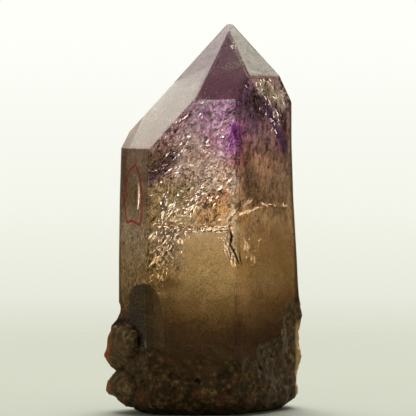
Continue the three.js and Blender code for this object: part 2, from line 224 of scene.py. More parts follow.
# Bands of flakes seen from the front: two ends (x and z in mm), half width, count, half length, tone
GLINTS = [
    ((-12, 68), (3, 84), 9, 1500, 0.24, "rose"),
    ((-8, 60), (4, 72), 8, 1100, 0.24, "rose"),
    ((-14, 60), (-4, 62), 5, 600, 0.22, "gold"),
    ((-11.4, 62), (-13.6, 55.6), 0.8, 120, 0.42, "cream"),
    ((-2.4, 63), (-5.8, 56), 1.4, 120, 0.4, "rose"),
    ((-11.6, 54.5), (-8.4, 62.5), 1, 80, 1.3, "cream"),
    ((-13.5, 55), (-12, 60), 0.8, 50, 1, "cream"),
    ((-5.6, 56.5), (-1.6, 63.5), 1.3, 90, 1.2, "rose"),
    ((-14.4, 43.6), (-9, 51.6), 1.6, 380, 1.1, "cream"),
    ((-16, 50), (-14, 52), 1, 50, 0.8, "cream"),
    ((-14, 42), (-10, 48), 2, 80, 0.8, "cream"),
    ((0, 60), (6, 66), 2.5, 50, 0.6, "peach"),
    ((-13, 67), (-4, 74), 3, 30, 0.9, "rose"),
    ((-13, 76), (-5, 87), 1.6, 30, 0.9, "lilac"),
    ((-7, 51.9), (6.3, 52.4), 0.5, 260, 1.2, "cream"),
    ((-2, 52.6), (6, 53), 0.4, 160, 1, "peach"),
    ((12.5, 60.5), (7.2, 57.6), 0.5, 150, 0.9, "peach"),
    ((7.2, 57.6), (6, 55), 0.5, 70, 0.7, "peach"),
    ((4.9, 47.5), (7.4, 42.6), 0.7, 110, 0.9, "cream"),
    ((10.6, 48.5), (12.8, 42.8), 1, 110, 0.9, "cream"),
    ((13.4, 46), (13.2, 42), 0.4, 40, 0.8, "cream"),
    ((9.2, 56.6), (15, 58), 0.35, 100, 1, "peach"),
    ((-9.8, 54.5), (-12.8, 45), 3.2, 620, 0.34, "cream"),
    ((-8.5, 52), (-11, 47), 1, 120, 0.5, "cream"),
    ((-15, 37), (-8.5, 52), 3, 520, 0.42, "cream"),
    ((-14.5, 51), (-7, 52.5), 2, 160, 0.24, "cream"),
    ((-9, 52.6), (6.5, 51.8), 0.6, 260, 0.42, "peach"),
    ((-16, 53.4), (6.5, 52.8), 1.2, 420, 0.3, "peach"),
    ((-13, 70), (4, 75), 7, 100, 0.5, "peach"),
    ((-15, 58), (2, 62), 5, 120, 0.5, "cream"),
    ((-7.5, 75.5), (-4, 78), 1, 60, 0.34, "cream"),
    ((-2, 84), (-1, 88), 1.1, 60, 0.3, "lilac"),
    ((5.5, 70), (7, 84), 2.4, 80, 0.2, "lilac"),
    ((4.8, 97.8), (10.5, 99), 1.2, 140, 0.24, "rose"),
    ((6.5, 105), (9, 98.5), 1.2, 50, 0.3, "rose"),
    ((-21, 79), (-6, 96), 2, 60, 0.28, "lilac"),
    ((-18, 82), (-15.5, 85), 0.25, 24, 0.28, "rose"),
    ((2.5, 97.5), (9, 95.5), 1.8, 90, 0.26, "lilac"),
    ((13.5, 88), (22, 92), 3.4, 300, 0.28, "cream"),
    ((16, 88), (21, 82), 1.6, 120, 0.4, "cream"),
    ((4.5, 50), (7.6, 44), 1, 160, 0.34, "cream"),
    ((11, 50), (12.6, 43), 1, 160, 0.34, "cream"),
    ((14.5, 49), (14.2, 44), 0.5, 50, 0.34, "gold"),
    ((13, 62), (15, 50), 5, 160, 0.22, "peach"),
    ((10, 60.5), (6.5, 56), 0.5, 90, 0.4, "peach"),
    ((15, 93), (22, 87), 2.6, 110, 0.8, "peach"),
    ((17, 84), (20, 78), 1, 25, 0.5, "peach"),
    ((-18.4, 37.4), (-16, 39.2), 0.25, 30, 0.3, "cream"),
    ((-13.5, 34.6), (-11.4, 33.6), 0.8, 50, 0.3, "cream"),
    ((15, 59), (23.5, 58.2), 0.35, 60, 0.8, "peach"),
    ((-12.4, 36), (-12.4, 20), 0.12, 60, 0.3, "gold"),
    ((-24, 63), (-23, 61), 0.5, 40, 0.24, "rust"),
    ((12, 84), (22, 66), 6, 160, 0.2, "peach"),
    ((12, 66), (22, 60), 6, 300, 0.2, "peach"),
    ((-16, 53), (-8, 42), 5, 600, 0.2, "cream"),
]
SPECKS = [
    ((-14, 66), (8, 80), 9, 520, 0.17, "dark"),
    ((-14, 58), (6, 63), 5, 300, 0.16, "dark"),
    ((12, 88), (22, 80), 5, 250, 0.2, "dark"),
    ((10, 72), (12, 60), 3, 140, 0.22, "dark"),
    ((-22, 72), (-20, 44), 4, 260, 0.18, "dark"),
    ((-16, 67), (-9, 74), 2.4, 150, 0.3, "dark"),
    ((-8, 68), (4, 64), 5, 120, 0.34, "dark"),
    ((12, 93), (16, 86), 2.4, 60, 0.5, "dark"),
    ((10.6, 101.4), (11, 101.8), 0.3, 6, 0.4, "dark"),
    ((11.2, 99.2), (11.6, 99.5), 0.3, 6, 0.4, "dark"),
    ((14, 97), (14.6, 97.2), 0.3, 6, 0.4, "dark"),
    ((12, 84), (22, 50), 7, 200, 0.2, "dark"),
    ((-10, 50), (6, 34), 8, 260, 0.13, "dark"),
]

# The crack in the front face: x and z in mm from its upper right end, then half width, count and half
# length of the rusty flakes along its upper part and the dark ones along its lower part
CRACK = [
    (10.1, 60.3), (8.9, 58.4), (7.9, 56.9), (6.1, 55), (5.9, 52.6),
    (6.6, 50.2), (6.2, 48.1), (7.6, 45.3), (8.7, 42.6),
]
RUSTY_STRETCHES = 5
CRACK_RUST = (0.5, 60, 0.4, "rust")
CRACK_DARK = (0.3, 90, 0.4, "dark")
FLAKE_TONES = {
    "rose": (1.0, 0.86, 0.78),
    "peach": (1.0, 0.84, 0.66),
    "gold": (1.0, 0.9, 0.6),
    "cream": (1.0, 0.97, 0.9),
    "lilac": (0.92, 0.74, 0.98),
    "rust": (0.6, 0.2, 0.05),
    "dark": (0.05, 0.02, 0.02),
}

# Red marker line round the fluid pocket, on the left face: how far along the face, and how high, in mm
LOOP = [
    (1.3, 70.3), (3.1, 68.7), (4.7, 66.8), (5.8, 63.6), (6.3, 60), (6.4, 57.4), (6.1, 55.5),
    (4.9, 53.5), (2.4, 54.0), (-0.3, 54.4), (-2.4, 53.9), (-3.6, 55.5), (-4.4, 58.8), (-4.6, 60.8),
    (-3.9, 63), (-3.4, 65.6), (-2.2, 67.9), (-0.8, 69.1), (1, 69.7),
]
LOOP_WIDTH = 0.68
LOOP_STEPS = 6
INK_HEIGHT = 0.02
INK_TONES = [(0.35, (0.34, 0.01, 0.03)), (0.65, (0.6, 0.02, 0.06))]

# Flakes: the share that mirrors a lamp to the front for each mm of half length, from what half length on
# and up to what, how much these stray, how deep under the skin all flakes lie, and their greatest width
SPARK_SHARE = 0.5
SPARK_SIZES = (0.3, 0.8)
SPARK_STRAY = 0.022
FLAKE_DEPTHS = (0.35, 1.1)
FLAKE_WIDTH = 0.4

# How far from the axis the rays start that look for the skin, in mm
OUTSIDE = 60

# The fluid pocket and its bubble: depth under the left face, place on it, and half sizes across, up and in
POCKET_DEPTH = 3.2
POCKET_PLACE = (1.0, 62.0)
POCKET_RADII = (2.0, 4.6, 0.8)
BUBBLE_RISE = 2.9
BUBBLE_RADII = (0.55, 0.7, 0.4)

# The photograph's view
PHOTO_WIDTH = 118.7
CAMERA_DISTANCE = 900
CAMERA_RISE = 1.75
AIM = Vector((0, 0, 57.65)) * MM
SENSOR = 36
NEAREST = 0.01

# Tones of the backdrop, from directions that sink by an eighth to ones that rise by an eighth
BACKDROP_TONES = [
    (0.1, (0.66, 0.67, 0.56)),
    (0.38, (0.9, 0.915, 0.825)),
    (0.6, (0.99, 1.0, 0.95)),
    (0.9, (1.0, 1.0, 0.97)),
]

# Studio light: where to the sides the bright backdrop ends and where it is whole, the light from the sides
# and front and from beside the backdrop, how much stronger the backdrop is outside the photograph, and how
# much of that its upper corners lose
BACKDROP_EDGE = (0.72, 0.4)
SIDE_LIGHT = (0.27, 0.235, 0.19)
FLANK_LIGHT = (0.13, 0.1, 0.06)
RING_LIGHT = 9
RING_EDGE = (0.09, 0.35)
CORNER_LOSS = 0.82

# Lamps: name, place and width in m, power in W
LAMPS = [
    ("key_light", Vector((-0.5, -0.7, 0.6)), 0.18, 0.8),
    ("fill_light", Vector((0.6, -0.45, 0.3)), 0.15, 0.4),
    ("top_light", Vector((0.1, 0.1, 0.9)), 0.6, 2.0),
]

# Floor, in m: its radius, where it is gone and where it is whole, its tones near, darker as painted shade,
# and far, and between what depths they change, and its tone to the sides, painted shade that the side faces
# mirror
FLOOR_RADIUS = 0.6
FLOOR_FADE = (0.58, 0.12)
FLOOR_TONES = ((0.25, 0.258, 0.222), (0.296, 0.308, 0.264))
FLOOR_DEPTHS = (-0.2, 0.1)
FLOOR_SIDES = (0.11, 0.22)
FLOOR_SIDE_SHADE = (0.09, 0.085, 0.07)

# How many clear surfaces light passes through
TRANSPARENT_BOUNCES = 24

# Quartz, and the water and gas in its pocket
QUARTZ_IOR = 1.544
WATER_IOR = 1.333
GLOSS_TINT = (0.55, 0.42, 0.28)
SMOKE_COLOUR = (0.62, 0.5, 0.36)
SMOKE_DENSITY = 6


def new_node(tree, kind, **values):
    made = tree.nodes.new(kind)
    for name, value in values.items():
        setattr(made, name, value)
    return made


class Maker:
    """Short calls for the nodes that the materials are made of."""

    def __init__(self, tree):
        self.tree = tree

    def put(self, socket, value):
        if hasattr(value, "is_output"):
            self.tree.links.new(value, socket)
        elif value is not None:
            socket.default_value = value

    def fill(self, node, values):
        """Sets or links a node's inputs by their names."""
        for name, value in values.items():
            self.put(node.inputs[name], value)

    def math(self, operation, a, b=None, c=None, clamp=False):
        made = new_node(self.tree, "ShaderNodeMath", operation=operation, use_clamp=clamp)
        for socket, value in zip(made.inputs, (a, b, c)):
            self.put(socket, value)
        return made.outputs[0]

    def times(self, a, b, clamp=False):
        return self.math("MULTIPLY", a, b, clamp=clamp)

    def scaled(self, value, factor, shift):
        return self.math("MULTIPLY_ADD", value, factor, shift)

    def ramp_up(self, value, low, high):
        """0 where the value is low, 1 where it is high, and smooth between."""
        made = new_node(self.tree, "ShaderNodeMapRange", interpolation_type="SMOOTHSTEP")
        for socket, entry in zip(made.inputs, (value, low, high, 0.0, 1.0)):
            self.put(socket, entry)
        return made.outputs[0]

    def ramp_mm(self, value, levels):
        """The same for a place in m and two levels in mm."""
        return self.ramp_up(value, levels[0] * MM, levels[1] * MM)

    def grey(self, value):
        made = new_node(self.tree, "ShaderNodeCombineColor")
        for socket in made.inputs[:3]:
            self.put(socket, value)
        return made.outputs[0]

    def mix(self, share, a, b, blend="MIX", clamp=False):
        made = new_node(self.tree, "ShaderNodeMix", data_type="RGBA", blend_type=blend, clamp_result=clamp)
        self.put(made.inputs["Factor"], share)
        self.put(made.inputs[6], rgba(a))
        self.put(made.inputs[7], rgba(b))
        return made.outputs[2]

    def position(self):
        return new_node(self.tree, "ShaderNodeTexCoord").outputs["Object"]

    def split(self, vector):
        made = new_node(self.tree, "ShaderNodeSeparateXYZ")
        self.put(made.inputs[0], vector)
        return made.outputs

    def stretched(self, vector, factors, turn=(0, 0, 0), shift=(0, 0, 0)):
        """Coordinates in which every pattern is longer by these factors, along axes turned in degrees."""
        made = new_node(self.tree, "ShaderNodeMapping", vector_type="TEXTURE")
        angles = [math.radians(a) for a in turn]
        place = [s * MM for s in shift]
        self.fill(made, {"Vector": vector, "Scale": factors, "Rotation": angles, "Location": place})
        return made.outputs[0]

    def noise(self, vector, size, detail=4, rough=0.55, distortion=0.0):
        """Noise whose lumps are about size mm across."""
        made = new_node(self.tree, "ShaderNodeTexNoise")
        self.fill(made, {"Vector": vector, "Scale": 1 / (size * MM), "Detail": detail})
        self.fill(made, {"Roughness": rough, "Distortion": distortion})
        return made.outputs["Fac"]

    def colours(self, value, stops):
        made = new_node(self.tree, "ShaderNodeValToRGB")
        self.put(made.inputs[0], value)
        entries = made.color_ramp.elements
        while len(entries) < len(stops):
            entries.new(0.5)
        for entry, (place, colour) in zip(entries, stops):
            entry.position = place
            entry.color = rgba(colour)
        return made.outputs[0]

    def bump(self, height, depth):
        made = new_node(self.tree, "ShaderNodeBump")
        self.fill(made, {"Strength": 1, "Distance": depth * MM, "Height": height})
        return made.outputs[0]

    def facing(self, direction, low, high):
        """0 to 1 as the surface turns to face a direction of the object."""
        normal = new_node(self.tree, "ShaderNodeTexCoord").outputs["Normal"]
        made = new_node(self.tree, "ShaderNodeVectorMath", operation="DOT_PRODUCT")
        self.put(made.inputs[0], normal)
        made.inputs[1].default_value = direction
        return self.ramp_up(made.outputs["Value"], low, high)

    def attribute(self, name, output="Fac"):
        return new_node(self.tree, "ShaderNodeAttribute", attribute_name=name).outputs[output]

    def lit_through(self, shader, colour, share):
        """The shader, with this share of its light coming through it from behind."""
        through = new_node(self.tree, "ShaderNodeBsdfTranslucent")
        self.put(through.inputs["Color"], colour)
        lit = new_node(self.tree, "ShaderNodeMixShader")
        lit.inputs[0].default_value = share
        self.put(lit.inputs[1], shader.outputs[0])
        self.put(lit.inputs[2], through.outputs[0])
        return lit.outputs[0]


def rgba(colour):
    if hasattr(colour, "is_output") or colour is None:
        return colour
    return (*colour, 1.0) if len(colour) == 3 else colour


def new_material(name):
    material = bpy.data.materials.new(name)
    material.use_nodes = True
    tree = material.node_tree
    shader = next(n for n in tree.nodes if n.type == "BSDF_PRINCIPLED")
    output = next(n for n in tree.nodes if n.type == "OUTPUT_MATERIAL")
    return material, Maker(tree), shader, output


def as_mesh(name, work):
    """A mesh made from a bmesh, which is freed."""
    mesh = bpy.data.meshes.new(name)
    work.to_mesh(mesh)
    work.free()
    return mesh


def new_object(name, mesh, material):
    made = bpy.data.objects.new(name, mesh)
    bpy.context.scene.collection.objects.link(made)
    mesh.materials.append(material)
    return made


def smooth_step(value, low, high):
    share = min(1.0, max(0.0, (value - low) / (high - low)))
    return share * share * (3 - 2 * share)


def azimuth(side):
    """How far round the axis a prism face looks, in radians from -Y."""
    return math.radians(TURN + 60 * (list(SIDES).index(side) - 1))


def outward(side):
    """Level direction that a prism face looks in."""
    return Vector((math.sin(azimuth(side)), -math.cos(azimuth(side)), 0))


def rightward(side):
    """Level direction along a prism face, to the right as seen from outside it."""
    return Vector((math.cos(azimuth(side)), math.sin(azimuth(side)), 0))


def facet_out(side):
    """Direction that the termination face above a prism face looks in."""
    return outward(side) * math.sin(RHOMB_TILT) + Vector((0, 0, math.cos(RHOMB_TILT)))


def band_distance(spot, start, end):
    """How far a point is from a straight band's middle line, both in two dimensions."""
    line = Vector(end) - Vector(start)
    share = (Vector(spot) - Vector(start)).dot(line) / max(line.length_squared, 1e-9)
    return (Vector(spot) - Vector(start) - line * min(1.0, max(0.0, share))).length


def between(tones, share):
    """The colour at a share of the way from one colour to another."""
    return Vector(tones[0]).lerp(Vector(tones[1]), share)


def level_tone(levels, z):
    """The colour at a height in mm, from a list of levels and colours."""
    for (low, below), (high, above) in zip(levels, levels[1:]):
        if z < high:
            return between((below, above), min(1.0, max(0.0, (z - low) / (high - low))))
    return Vector(levels[-1][1])


# The crystal


def crust_height(point):
    """Height of the crust on the side that a point in mm faces, blended between the six sides."""
    turn = math.degrees(math.atan2(point.x, -point.y) - azimuth("left"))
    place = (turn % 360) / 60
    sides = list(CRUST_HEIGHT.values())
    low, share = int(place) % 6, place % 1
    return sides[low] + smooth_step(share, 0, 1) * (sides[(low + 1) % 6] - sides[low])


def crust_share(point):
    """How crusted the skin is at a point in mm, from 0 on a clear face to 1 on the root."""
    wander = CRUST_WANDER * noise.noise(point / 5.0) + 0.5 * CRUST_WANDER * noise.noise(point / 1.7)
    edge = crust_height(point) + wander
    share = 1 - smooth_step(point.z, edge - CRUST_FADE, edge)
    if in_later_layer(point):
        share = max(LATER_CRUST, min(share, 1 - smooth_step(point.z, *LATER_FADE)))
    growths = smooth_step(point.dot(outward("left")), *GROWTH_REACH)
    growths *= 1 - smooth_step(point.z, *GROWTH_FADE)
    knob = smooth_step(point.x, *KNOB_REACH) * (1 - smooth_step(point.z, *KNOB_FADE))
    return max(share, growths, knob)


def join_flat_faces(work):
    """Makes one face of the triangles that lie in one plane."""
    bmesh.ops.remove_doubles(work, verts=work.verts, dist=0.002 * MM)
    level = math.radians(0.4)
    bmesh.ops.dissolve_limit(
        work, angle_limit=level, verts=work.verts, edges=work.edges, use_dissolve_boundaries=False
    )


def wear_edges(work):
    """Rounds the crystal's long sharp edges above the crust a little."""
    sharp = [
        e
        for e in work.edges
        if len(e.link_faces) == 2
        and e.calc_face_angle(0) > SHARP_ANGLE
        and min(v.co.z for v in e.verts) > WORN_ABOVE * MM
        and e.calc_length() > SHORTEST_EDGE * MM
    ]
    width = EDGE_BEVEL * MM
    bmesh.ops.bevel(
        work, geom=sharp, offset=width, segments=2, profile=0.6, affect="EDGES", clamp_overlap=True
    )


def refine_crust(work):
    """Splits the long edges on the crust until its mesh is fine."""
    bmesh.ops.triangulate(work, faces=work.faces)
    for _ in range(5):
        long_edges = [
            e
            for e in work.edges
            if e.calc_length() > CRUST_MESH * MM and near_crust((e.verts[0].co + e.verts[1].co) / 2)
        ]
        if not long_edges:
            break
        bmesh.ops.subdivide_edges(work, edges=long_edges, cuts=1, use_grid_fill=False)
        bmesh.ops.triangulate(work, faces=[f for f in work.faces if len(f.verts) > 3])
    work.normal_update()


def crystal_mesh():
    """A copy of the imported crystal: flat faces made whole, edges worn, and relief on the crust."""
    work = bmesh.new()
    work.from_mesh(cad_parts["amethyst_point"].data)
    layer = work.verts.layers.float.new("crust")
    later = work.faces.layers.float.new("later")
    join_flat_faces(work)
    wear_edges(work)
    refine_crust(work)
    for face in work.faces:
        face[later] = in_later_layer(face.calc_center_median() / MM)
    shares = {v: crust_share(v.co / MM) for v in work.verts}
    rises = {v: crust_relief(v.co / MM) * smooth_step(shares[v], *RELIEF_SHARES) for v in work.verts}
    moves = {v: v.normal * rise * MM for v, rise in rises.items()}
    for vert, move in moves.items():
        if vert.co.z > 0.02 * MM:
            vert.co += move
            vert.co.z = max(vert.co.z, 0.0)
    for vert, share in shares.items():
        vert[layer] = share
    for face in work.faces:
        face.smooth = all(shares[v] > 0.5 for v in face.verts)
    return as_mesh("amethyst_crystal", work)


def in_later_layer(point):
    """1 on the later layer of growth, which stands proud of the lower left front edge."""
    proud = max(point.dot(outward(side)) - reach for side, reach in LATER_REACH.items())
    return float(proud > 0 and LATER_LEVELS[0] < point.z < LATER_LEVELS[1] and point.x < LATER_SIDE)


def near_crust(place):
    """Whether a place in m, or the one 1.5 mm above it, is on the crust."""
    point = place / MM
    return crust_share(point) > 0.02 or crust_share(point + Vector((0, 0, 1.5))) > 0.02


def crust_relief(point):
    """How far the crust's fine lumps and pits stand out, in mm."""
    coarse = 0.32 * noise.noise(point / 1.9)
    fine = 0.2 * noise.noise(point / 0.9 + Vector((3, 1, 4)))
    pitted = -0.42 * max(0.0, noise.noise(point / 1.5 + Vector((9, 2, 6))) - 0.28)
    return coarse + fine + pitted


def clear_tint(make, place, level, z, dots):
    """The tint of the clear quartz: its zones, grainy below, painted shade and light on the two side faces,
    and the later layer, with painted shade where it faces left.
    """
    tint = make.colours(
        make.math("DIVIDE", level, ZONE_TOP * MM), [(h / ZONE_TOP, tone) for h, tone in ZONES]
    )
    golden = make.ramp_mm(z, GOLDEN_TOP)
    lines = make.noise(make.stretched(place, (14, 14, 1)), 0.8, 3, 0.6)
    grain = make.scaled(make.ramp_up(lines, 0.35, 0.5), 0.14, 0.62)
    grain = make.scaled(make.ramp_up(dots, 0.34, 0.5), 0.22, grain)
    tint = make.mix(golden, tint, make.mix(1.0, tint, make.grey(grain), "MULTIPLY"))
    foot = make.ramp_mm(z, GOLDEN_FOOT)
    # Painted shade and light: the left and right faces are darker above the golden zone and lighter at its
    # foot, by which way they look
    for side, (above, within, below) in PAINTED_SIDE_SHADING.items():
        change = make.mix(golden, above, make.mix(foot, within, below))
        changed = make.mix(1.0, tint, change, "MULTIPLY", True)
        tint = make.mix(make.facing(outward(side), *TURNED), tint, changed)
    # Painted shade: the later layer is darker where it faces left
    later = make.mix(make.facing(outward("left"), *TURNED), *LATER_TINT_AND_SHADE)
    return make.mix(make.attribute("later"), tint, later)


def crust_paint(make, place, x, z):
    """Colour of the crust: speckled brown with painted shade in pits and painted light on lumps, rusty
    stains, paler on the growths, partly as painted light, and paler on the knob.
    """
    speckle = make.noise(place, 1.9, 7, 0.72)
    # Painted shade and light: near-black speckles stand for shaded pits and the lightest for lit lumps,
    # over the crust's own brown
    paint = make.colours(speckle, CRUST_TONES_AND_SHADING)
    rust = make.noise(make.stretched(place, (1, 1, 1), (0, 0, 0), (20, 5, 8)), 4.5, 3, 0.6)
    rusty = make.times(make.ramp_up(rust, 0.54, 0.66), 0.55)
    paint = make.mix(rusty, paint, RUST_TONE)
    # The growths' crust is lighter: partly a paler crust, partly painted light
    bright = make.mix(0.45, make.mix(1.0, paint, GROWTH_PALENESS_AND_LIGHT, "MULTIPLY"), GROWTH_TONE)
    paint = make.mix(make.ramp_mm(x, GROWTH_SIDE), paint, bright)
    rim = make.ramp_mm(make.scaled(speckle, 3 * MM, x), RIM_SIDE)
    paint = make.mix(make.times(rim, 0.85), paint, RIM_TONE)
    knob = make.times(make.ramp_mm(x, KNOB_SIDE), make.ramp_mm(z, KNOB_LEVELS))
    return make.mix(knob, paint, KNOB_TONE)


def quartz_material():
    """Clear tinted quartz that turns into a rough crust towards the root."""
    material, make, shader, output = new_material("quartz")
    place = make.position()
    x, _, z = make.split(place)
    wisps = make.noise(make.stretched(place, (1, 1, 0.5)), 14, 4, 0.55)
    level = make.scaled(make.math("SUBTRACT", wisps, 0.5), 9 * MM, z)
    dots = make.noise(place, 0.45, 3, 0.7)
    crust = make.scaled(dots, 0.5, make.attribute("crust"))
    crust = make.ramp_up(crust, 0.6, 0.85)
    tint = clear_tint(make, place, level, z, dots)
    stain = make.times(make.ramp_mm(level, STAIN_LEVELS), 0.35)
    solid = make.math("MAXIMUM", crust, stain)
    growth = make.noise(make.stretched(place, (8, 8, 0.6)), 2.2, 3, 0.5)
    make.fill(
        shader,
        {
            "Base Color": make.mix(crust, tint, crust_paint(make, place, x, z)),
            "Transmission Weight": make.math("SUBTRACT", 1.0, solid),
            "Roughness": make.scaled(crust, 0.7, 0.02),
            "IOR": QUARTZ_IOR,
            "Specular Tint": rgba(GLOSS_TINT),
            "Normal": make.bump(growth, 0.012),
        },
    )
    smoke = new_node(make.tree, "ShaderNodeVolumeAbsorption")
    make.fill(smoke, {"Color": rgba(SMOKE_COLOUR), "Density": SMOKE_DENSITY})
    make.put(output.inputs["Volume"], smoke.outputs[0])
    return material


def make_crystal():
    crystal = new_object("amethyst_crystal", crystal_mesh(), quartz_material())
    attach(crystal, "root")
    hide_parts("amethyst_point")


# Veils, flakes and cracks inside the crystal


def skin_tree():
    """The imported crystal's skin, to measure from."""
    work = bmesh.new()
    work.from_mesh(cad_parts["amethyst_point"].data)
    tree = BVHTree.FromBMesh(work)
    work.free()
    return tree


SKIN = skin_tree()


def depth_under_skin(point):
    """How deep a point in mm lies in the crystal, less than 0 outside it."""
    gap = SKIN.find_nearest(point * MM)[3]
    away = Vector((0.3, -1, 0.2))
    normal = SKIN.ray_cast(point * MM, away)[1]
    return (gap if normal and normal.dot(away) > 0 else -gap) / MM


def front_tone(point):
    """Colour of the cloudy quartz at a point in mm."""
    tone = level_tone(VEIL_TONES, point.z)
    if point.y > PATCHES_END:
        return tone
    for start, end, width, colour, strength in PATCHES:
        away = band_distance((point.x, point.z), start, end)
        tone = tone.lerp(Vector(colour), strength * (1 - smooth_step(away, 0.3 * width, width)))
    return tone


def add_inside(name, mesh, material):
    piece = new_object(name, mesh, material)
    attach(piece, "root")


def veil(
    name, centre, across, up, size, waves, density, material,
    step=0.7, margin=0.35, fade=0.9, tone=front_tone,
):
    """A wavy sheet of cloudy quartz, kept under the skin. Sizes in mm, density a function of a point."""
    width, swell, seed = waves
    normal = across.cross(up)
    columns, rows = int(size[0] / step), int(size[1] / step)
    work = bmesh.new()
    dense = work.verts.layers.float.new("dense")
    tint = work.verts.layers.float_color.new("tone")
    grid = []
    for row in range(rows + 1):
        line = []
        for column in range(columns + 1):
            flat = centre + across * (column * step - size[0] / 2) + up * (row * step - size[1] / 2)
            shift = swell * noise.noise(flat / width + Vector((seed, -seed, 2 * seed)))
            shift += 0.3 * swell * noise.noise(flat / (0.3 * width) + Vector((seed, seed, seed)))
            point = flat + normal * shift
            depth = depth_under_skin(point)
            if depth < margin:
                line.append(None)
                continue
            vert = work.verts.new(point * MM)
            vert[dense] = density(point) * smooth_step(depth, margin, margin + fade)
            vert[tint] = (*tone(point), 1.0)
            line.append(vert)
        grid.append(line)
    for below, above in zip(grid, grid[1:]):
        for corners in zip(below, below[1:], above[1:], above):
            if all(corners) and max(v[dense] for v in corners) > 0.02:
                work.faces.new(corners).smooth = True
    bmesh.ops.delete(work, geom=[v for v in work.verts if not v.link_faces], context="VERTS")
    add_inside(name, as_mesh(name, work), material)


def veil_material(name, gain_top, contrast, depth, fibre, stretch):
    """Cloudy quartz, as see-through as its mesh says, with values from VEIL_KINDS, and painted highlights
    on its brightest fibres.
    """
    material, make, shader, output = new_material(name)
    place = make.position()
    tone = make.attribute("tone", "Color")
    dense = make.attribute("dense")
    fibres = make.stretched(place, stretch, (0, FIBRE_LEAN if stretch[2] > 1 else 0, 0))
    fine = make.noise(fibres, fibre, 7, 0.72, 0.5 * contrast)
    patchy = make.ramp_up(make.noise(place, 2.4, 4, 0.65, 0.8), 0.36, 0.64)
    uneven = 0.4 * contrast
    gain = make.math("POWER", make.ramp_up(fine, 0.34, 0.68), contrast)
    gain = make.times(gain, gain_top)
    gain = make.times(gain, make.scaled(patchy, uneven, 1.05 - 0.5 * uneven))
    colour = make.mix(1.0, tone, make.grey(gain), "MULTIPLY", True)
    # Painted highlight: the brightest fibres are lightened towards a pale light colour
    painted_shine = make.mix(1.0, tone, (1.3, 1.3, 1.3), "MULTIPLY", True)
    painted_shine = make.mix(0.3, painted_shine, (1, 0.95, 0.88))
    painted_shine_share = make.times(make.ramp_up(fine, 0.57, 0.68), 0.5 * contrast, clamp=True)
    colour = make.mix(make.times(painted_shine_share, patchy), colour, painted_shine)
    holes = make.noise(fibres, 3.4, 4, 0.65, 0.6)
    cover = make.scaled(make.ramp_up(holes, 0.3, 0.6), 0.35, 0.65)
    alpha = make.times(dense, cover, clamp=True)
    make.fill(shader, {"Base Color": colour, "Roughness": 0.35, "Normal": make.bump(fine, depth)})
    lit = make.lit_through(shader, colour, 0.7)
    clear = new_node(make.tree, "ShaderNodeBsdfTransparent")
    whole = new_node(make.tree, "ShaderNodeMixShader")
    make.put(whole.inputs[0], alpha)
    make.put(whole.inputs[1], clear.outputs[0])
    make.put(whole.inputs[2], lit)
    make.put(output.inputs["Surface"], whole.outputs[0])
    return material


def front_density(point):
    """Dense in the middle of the front, fading out to the clear quartz below and the tip above."""
    left = 1 - smooth_step(point.x, -10, -4)
    low_edge = 50 + 3 * noise.noise(point / 6)
    rise = smooth_step(point.z, low_edge, low_edge + 5)
    below = 0.9 * left * smooth_step(point.z, 33, 41)
    fall = 1 - smooth_step(point.z, 87, 90)
    side = 1 - 0.6 * smooth_step(point.x, 8.4, 10)
    return 0.97 * max(rise, below) * fall * side


def right_density(point):
    """Dense above, and mottled in the clearer quartz below."""
    above = 0.9 - 0.3 * smooth_step(point.x, 14, 22) + 0.5 * smooth_step(point.z, 66, 74)
    mottles = 0.3 + 0.6 * noise.noise(Vector((point.x, point.y, point.z / 2.5)) / 3)
    rise = smooth_step(point.z, 48, 58)
    return above * rise + max(0.0, mottles) * (1 - rise)


def left_density(point):
    """Even down to the growths, and thinner above the golden zone."""
    return (0.75 - 0.35 * smooth_step(point.z, 50, 60)) * smooth_step(point.z, 10, 18)


def between_levels(most, start, end):
    """A density that rises to its most over the first pair of levels and falls over the second."""
    return lambda point: most * smooth_step(point.z, *start) * (1 - smooth_step(point.z, *end))


def low_haze_tone(point):
    """Colour of the haze in the smoky zone, paler low on the right."""
    tone = between(HAZE_TONES, smooth_step(point.z, 38, 48))
    aside = smooth_step(point.x, 7, 10) * (1 - smooth_step(point.z, 36, 44))
    return between((tone, HAZE_PALE), 0.9 * aside)


def low_haze_density(most):
    """Density of the haze in the smoky zone, which thins out upwards."""

    def density(point):
        glittering = (1 - smooth_step(point.x, -9, -4)) * smooth_step(point.z, 34, 41)
        low = 1 - smooth_step(point.z, 47, 56 + 4 * noise.noise(point / 5))
        return most * low * (1 - glittering)

    return density


def front_facet_tone(point):
    """Purple, and paler towards the tip; the darker purple lower down is partly painted shade."""
    return between(FRONT_FACET_TONES, smooth_step(point.z + 2 * noise.noise(point / 3), 92, 100))


def beside_front_facet(point):
    """1 along the left facet's border with the front facet, fading to 0 away from it."""
    return 1 - smooth_step(band_distance((point.x, point.z), *FACET_BORDER), *BORDER_REACH)


def front_facet_density(point):
    """So dense at the foot that the bright room behind doesn't show: painted shade there, over the
    amethyst's purple.
    """
    return 2.0 - 1.2 * smooth_step(point.z, 94.5, 97)


def left_facet_density(point):
    """Thin, and denser towards the tip and the front facet."""
    return 0.16 + 0.3 * smooth_step(point.z, 90, 96) + 0.35 * beside_front_facet(point)


def left_facet_tone(point):
    """Greenish grey, and purple beside the front facet."""
    return between(LEFT_FACET_TONES, 0.85 * beside_front_facet(point))


